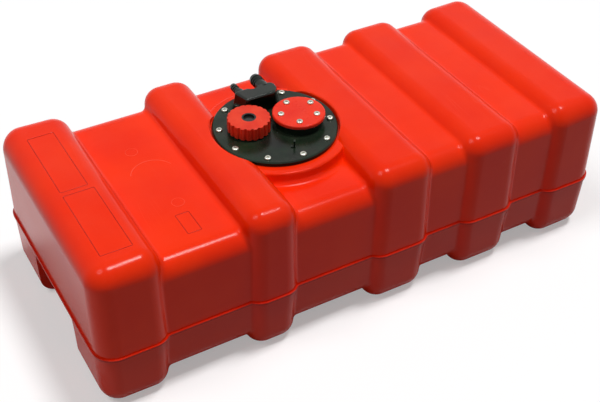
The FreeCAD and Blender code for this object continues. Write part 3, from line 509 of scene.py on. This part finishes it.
def moulded(name, colours, clouds, grain, gloss, wear, dust, lines, fixed, line=None):
    """Moulded plastic: its plain, deep and worn colours, its own values in the shared effects, and
    painted shade along a level where one is given.
    """
    plain, deep, worn = colours
    material, tree, shader = new_material(name, fixed)
    skin = tree.group(MOULDED_SKIN, {
        "Colour": plain,
        "Deep Colour": deep,
        "Cloud Scale": clouds["scale"],
        "Grain Scale": grain["scale"],
        "Gloss": gloss["base"],
        "Gloss Spread": gloss["spread"],
        "Sink Share": grain["sink"],
    })
    edges = tree.group(WORN_EDGES, {
        "Edge Width": wear["width"],
        "Break Scale": wear["scale"],
        "Amount": wear["amount"],
    })["Mask"]
    film = tree.group(SETTLED_DUST, {"Patch Scale": dust["scale"], "Amount": dust["amount"]})["Mask"]
    scratches = tree.group(HAIRLINES, {"Line Scale": lines["scale"], "Amount": lines["amount"]})["Mask"]
    colour = skin["Colour"]
    # Painted shade: the thin parting line is coloured darker
    if line:
        colour = tree.blend(painted_shade_on_level(tree, line), colour, line["colour"])
    colour = tree.blend(edges, colour, worn)
    colour = tree.blend(scratches, colour, worn)
    colour = tree.blend(film, colour, DUST)
    tree.links.new(colour, shader.inputs["Base Color"])
    rough = tree.math("ADD", skin["Roughness"], tree.math("MULTIPLY", film, DUST_ROUGHENS))
    rough = tree.math("ADD", rough, tree.math("MULTIPLY", scratches, SCRATCH_ROUGHENS))
    tree.links.new(rough, shader.inputs["Roughness"])
    height = tree.math("SUBTRACT", skin["Height"], scratches)
    tree.relief(height, grain["depth"], shader)
    return material


def metal(name, bright, dull, line_scale, gloss, depth):
    """Bare metal with drawn lines."""
    material, tree, shader = new_material(name, {"Metallic": 1.0})
    values = {"Colour": bright, "Dull Colour": dull, "Line Scale": line_scale, "Gloss": gloss}
    skin = tree.group(DRAWN_METAL, values)
    tree.links.new(skin["Colour"], shader.inputs["Base Color"])
    tree.links.new(skin["Roughness"], shader.inputs["Roughness"])
    tree.relief(skin["Height"], depth, shader)
    return material


def tank_red(name="tank_red_polyethylene", colours=(TANK_RED, TANK_RED_DEEP, TANK_RED_WORN)):
    """The tank's thick moulded skin: soft gloss, slow sink marks, a little dust, handling wear and
    painted shade on the parting line.
    """
    return moulded(
        name,
        colours,
        clouds={"scale": 9.0},
        grain={"scale": 420.0, "depth": 0.00003, "sink": 14.0},
        gloss={"base": 0.19, "spread": 0.07},
        wear={"width": 0.0012, "scale": 60.0, "amount": 0.5},
        dust={"scale": 11.0, "amount": 0.05},
        lines={"scale": 46.0, "amount": 0.22},
        fixed={"Specular IOR Level": 0.10},
        # Painted shade on the parting line
        line={
            "level": PARTING_LEVEL,
            "half": PARTING_HALF,
            "colour": TANK_RED_PAINTED_SHADE,
            "share": 0.75,
        },
    )


def flange_black(name, plain, gloss, specular):
    """Greenish black nylon with a satin grain."""
    return moulded(
        name,
        (plain, PLATE_BLACK_DEEP, PLATE_BLACK_WORN),
        clouds={"scale": 24.0},
        grain={"scale": 1300.0, "depth": 0.00001, "sink": 4.0},
        gloss={"base": gloss, "spread": 0.14},
        wear={"width": 0.0007, "scale": 260.0, "amount": 0.55},
        dust={"scale": 30.0, "amount": 0.07},
        lines={"scale": 120.0, "amount": 0.35},
        fixed={"Specular IOR Level": specular},
    )


def cap_red():
    """The filler cap: darker red nylon, rubbed pale on its flutes by hands."""
    return moulded(
        "cap_red_nylon",
        (CAP_RED, CAP_RED_DEEP, CAP_RED_WORN),
        clouds={"scale": 40.0},
        grain={"scale": 1500.0, "depth": 0.00003, "sink": 1.5},
        gloss={"base": 0.32, "spread": 0.18},
        wear={"width": 0.0008, "scale": 330.0, "amount": 0.85},
        dust={"scale": 45.0, "amount": 0.07},
        lines={"scale": 170.0, "amount": 0.45},
        fixed={"Specular IOR Level": 0.18},
    )


def cover_red():
    """The gauge cover: smooth red nylon with a clean edge."""
    return moulded(
        "cover_red_nylon",
        (COVER_RED, COVER_RED_DEEP, COVER_RED_WORN),
        clouds={"scale": 30.0},
        grain={"scale": 1200.0, "depth": 0.00002, "sink": 2.0},
        gloss={"base": 0.28, "spread": 0.14},
        wear={"width": 0.0006, "scale": 300.0, "amount": 0.45},
        dust={"scale": 34.0, "amount": 0.06},
        lines={"scale": 150.0, "amount": 0.35},
        fixed={"Specular IOR Level": 0.18},
    )


def plug_black():
    """The plug seen through the cap's eye: black and glossy."""
    return moulded(
        "plug_black_nylon",
        (PLUG_BLACK, PLUG_BLACK_DEEP, PLUG_BLACK_WORN),
        clouds={"scale": 60.0},
        grain={"scale": 1800.0, "depth": 0.00001, "sink": 1.0},
        gloss={"base": 0.22, "spread": 0.12},
        wear={"width": 0.0005, "scale": 400.0, "amount": 0.4},
        dust={"scale": 60.0, "amount": 0.05},
        lines={"scale": 220.0, "amount": 0.3},
        fixed={"Specular IOR Level": 0.4},
    )


def strainer_white():
    """The strainer: natural nylon that lets some light into its wall."""
    return moulded(
        "strainer_natural_nylon",
        (NYLON_WHITE, NYLON_DEEP, NYLON_WORN),
        clouds={"scale": 50.0},
        grain={"scale": 1600.0, "depth": 0.00002, "sink": 1.0},
        gloss={"base": 0.42, "spread": 0.16},
        wear={"width": 0.0004, "scale": 320.0, "amount": 0.3},
        dust={"scale": 50.0, "amount": 0.0},
        lines={"scale": 160.0, "amount": 0.2},
        fixed={"Subsurface Weight": 0.25, "Subsurface Radius": (0.004, 0.003, 0.002)},
    )


def seal_rubber():
    """Cut nitrile sheet: matt black with a grey bloom."""
    return moulded(
        "seal_nitrile_rubber",
        (RUBBER_BLACK, RUBBER_BLOOM, RUBBER_BLOOM),
        clouds={"scale": 90.0},
        grain={"scale": 2200.0, "depth": 0.00005, "sink": 1.0},
        gloss={"base": 0.68, "spread": 0.20},
        wear={"width": 0.0004, "scale": 500.0, "amount": 0.3},
        dust={"scale": 70.0, "amount": 0.12},
        lines={"scale": 300.0, "amount": 0.1},
        fixed={"Specular IOR Level": 0.3},
    )


def give(material, *names):
    """This one material on each of these nodes."""
    for name in names:
        data = NODES[name].data
        data.materials.clear()
        data.materials.append(material)


def finish_nodes(red, plate_black, housing_black):
    """A material for each node of the frame."""
    give(red, "tank_shell")
    give(plate_black, "flange_plate")
    give(housing_black, "outlet_housing")
    give(cap_red(), "filler_cap")
    give(cover_red(), "gauge_cover")
    give(plug_black(), "cap_plug")
    give(seal_rubber(), "flange_gasket", "cap_gasket", "cover_gasket", "housing_seals")
    give(strainer_white(), "pickup_strainer")
    stainless = metal(
        "stainless_screw_steel", STAINLESS, STAINLESS_DULL, line_scale=900.0, gloss=0.26, depth=0.00001
    )
    give(stainless, "flange_screws", "cover_screws", "housing_screws")
    polished = metal(
        "valve_polished_steel", STAINLESS, STAINLESS_DULL, line_scale=1600.0, gloss=0.14, depth=0.000003
    )
    give(polished, "valve_ball", "valve_spring")
    brass = metal("turned_brass", BRASS, BRASS_DULL, line_scale=1100.0, gloss=0.30, depth=0.00001)
    give(brass, "tank_inserts", "valve_seat")
    drawn = metal(
        "drawn_aluminium", ALUMINIUM, ALUMINIUM_DULL, line_scale=1000.0, gloss=0.32, depth=0.00001
    )
    give(drawn, "pickup_tube")


def add_piece(name, vertices, faces, material):
    """A finished mesh that rides on the tank."""
    data = bpy.data.meshes.new(name)
    data.from_pydata(vertices, [], faces)
    data.materials.append(material)
    data.polygons.foreach_set("use_smooth", [True] * len(data.polygons))
    data.update()
    piece = bpy.data.objects.new(name, data)
    bpy.context.scene.collection.objects.link(piece)
    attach(piece, "root")


def tube_faces(rings, corners, closed):
    """The faces of a tube of rings of corners, either closed into a loop or capped at its ends."""
    faces = []
    last = rings if closed else rings - 1
    for ring in range(last):
        following = (ring + 1) % rings
        for corner in range(corners):
            beside = (corner + 1) % corners
            faces.append((
                ring * corners + corner,
                following * corners + corner,
                following * corners + beside,
                ring * corners + beside,
            ))
    if not closed:
        faces.append(tuple(range(corners)))
        faces.append(tuple((rings - 1) * corners + corner for corner in reversed(range(corners))))
    return faces


def bead(name, route, level, closed, material):
    """A moulded bead of low domed section along a route of points in plan, standing on a level face."""
    half = BEAD_WIDTH / 2
    shoulder = (half * BEAD_SHOULDER_OUT, BEAD_HEIGHT * BEAD_SHOULDER_UP)
    section = [
        (-half, -BEAD_SINK),
        (-half, 0.0),
        (-shoulder[0], shoulder[1]),
        (0.0, BEAD_HEIGHT),
        shoulder,
        (half, 0.0),
        (half, -BEAD_SINK),
    ]
    count = len(route)
    vertices = []
    for number, (x, y) in enumerate(route):
        before = route[(number - 1) % count] if closed or number > 0 else route[0]
        after = route[(number + 1) % count] if closed or number < count - 1 else route[-1]
        along = Vector((after[0] - before[0], after[1] - before[1])).normalized()
        across = Vector((-along.y, along.x))
        for offset, height in section:
            vertices.append((x + across.x * offset, y + across.y * offset, level + height))
    add_piece(name, vertices, tube_faces(count, len(section), closed), material)


def arc_points(x, y, radius, start, stop, step):
    """Points on an arc in plan, from start to stop in steps of about this many degrees."""
    count = round((stop - start) / step)
    angles = [math.radians(start + (stop - start) * k / count) for k in range(count + 1)]
    return [(x + radius * math.cos(a), y + radius * math.sin(a)) for a in angles]


def frame_route(x0, x1, y0, y1):
    """A rectangle in plan with small round corners."""
    r = FRAME_CORNER
    corners = ((x1 - r, y1 - r, 0), (x0 + r, y1 - r, 90), (x0 + r, y0 + r, 180), (x1 - r, y0 + r, 270))
    route = []
    for x, y, start in corners:
        route += arc_points(x, y, r, start, start + 90, CORNER_STEP)
    return route


def moulded_marks():
    """The plain frames, arc and dials that stand on the tank's top: the frames' raised beads carry
    painted groove shade, and the arc and dials a painted highlight.
    """
    # Painted shade: raised beads coloured dark red to look like shaded grooves
    dark = tank_red("tank_red_frame_painted_shade", (TANK_RED_PAINTED_SHADE, TANK_RED_PAINTED_SHADE, TANK_RED_WORN))
    bead("rib_frame_back", frame_route(*RIB_FRAME_BACK), RIB_TOP, True, dark)
    bead("rib_frame_front", frame_route(*RIB_FRAME_FRONT), RIB_TOP, True, dark)
    bead("channel_frame", frame_route(*CHANNEL_FRAME), CHANNEL_FLOOR, True, dark)
    # Painted highlight: the arc and dials are coloured paler red
    pale = tank_red("tank_red_dial_painted_highlight", (TANK_RED_PAINTED_HIGHLIGHT, TANK_RED, TANK_RED_WORN))
    arc = arc_points(*ARC_CENTRE, ARC_RADIUS, ARC_FROM, ARC_TO, ARC_STEP)
    bead("channel_arc", arc, CHANNEL_FLOOR, False, pale)
    for number, (x, y) in enumerate(DIAL_PLACES, start=1):
        dial = arc_points(x, y, DIAL_RADIUS, 0, 360 - DIAL_STEP, DIAL_STEP)
        bead(f"channel_dial_{number}", dial, CHANNEL_FLOOR, True, pale)


def turned(name, start, axis, outline, around, material):
    """A closed ring turned round an axis: the outline gives distances along it and radii."""
    side = axis.orthogonal().normalized()
    other = axis.cross(side)
    vertices = []
    for k in range(around):
        angle = 2 * math.pi * k / around
        out = side * math.cos(angle) + other * math.sin(angle)
        vertices += [tuple(start + axis * along + out * radius) for along, radius in outline]
    faces = tube_faces(around, len(outline), True)
    add_piece(name, vertices, faces, material)


def hose_barbs(material):
    """Saw-tooth barbs round the outer end of each hose tail, which points away from the housing."""
    for name in ("fuel_tail", "vent_tail"):
        mount = MOUNTS[name]
        radius = mount["dims"]["r_mm"] / MM_PER_METRE
        length = mount["dims"]["length_mm"] / MM_PER_METRE
        axis = Vector(mount["axis"])
        tip = Vector(mount["pos_m"]) + axis * (length / 2 + TAIL_TIP)
        pitch = length / (BARBS + BARB_SPARE)
        outline = [
            (0.0, radius * (1 - BARB_SINK)),
            (0.0, radius * (1 + BARB_RISE)),
            (pitch * BARB_LAND, radius * (1 + BARB_RISE)),
            (pitch * BARB_RAMP, radius * (1 + BARB_FOOT)),
            (pitch * BARB_RAMP, radius * (1 - BARB_SINK)),
        ]
        for number in range(BARBS):
            start = tip - axis * pitch * (number + BARB_FIRST)
            turned(f"{name}_barb_{number + 1}", start, axis, outline, BARB_AROUND, material)


def gate_mark(material):
    """The small round mark that the mould leaves on the plate."""
    outline = [
        (-GATE_HEIGHT, GATE_RADIUS * GATE_EYE),
        (-GATE_HEIGHT, GATE_RADIUS),
        (GATE_HEIGHT * GATE_SIDE, GATE_RADIUS),
        (GATE_HEIGHT, GATE_RADIUS * GATE_CROWN),
        (GATE_HEIGHT, GATE_RADIUS * GATE_EYE),
    ]
    place = Vector((*GATE_PLACE, PLATE_TOP))
    turned("plate_gate_mark", place, Vector((0, 0, 1)), outline, GATE_AROUND, material)


def valve_coil():
    """The valve spring, copied into a mesh of its own that rides on the tank in place of the node."""
    coil = bpy.data.objects.new("valve_spring_coil", NODES["valve_spring"].data.copy())
    bpy.context.scene.collection.objects.link(coil)
    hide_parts("valve_spring")
    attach(coil, "root")
    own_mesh(coil)


camera()
studio()
pale_floor()
red = tank_red()
plate_black = flange_black("plate_black_nylon", PLATE_BLACK, gloss=0.22, specular=0.20)
housing_black = flange_black("housing_black_nylon", HOUSING_BLACK, gloss=0.15, specular=0.34)
finish_nodes(red, plate_black, housing_black)
moulded_marks()
hose_barbs(housing_black)
gate_mark(plate_black)
valve_coil()
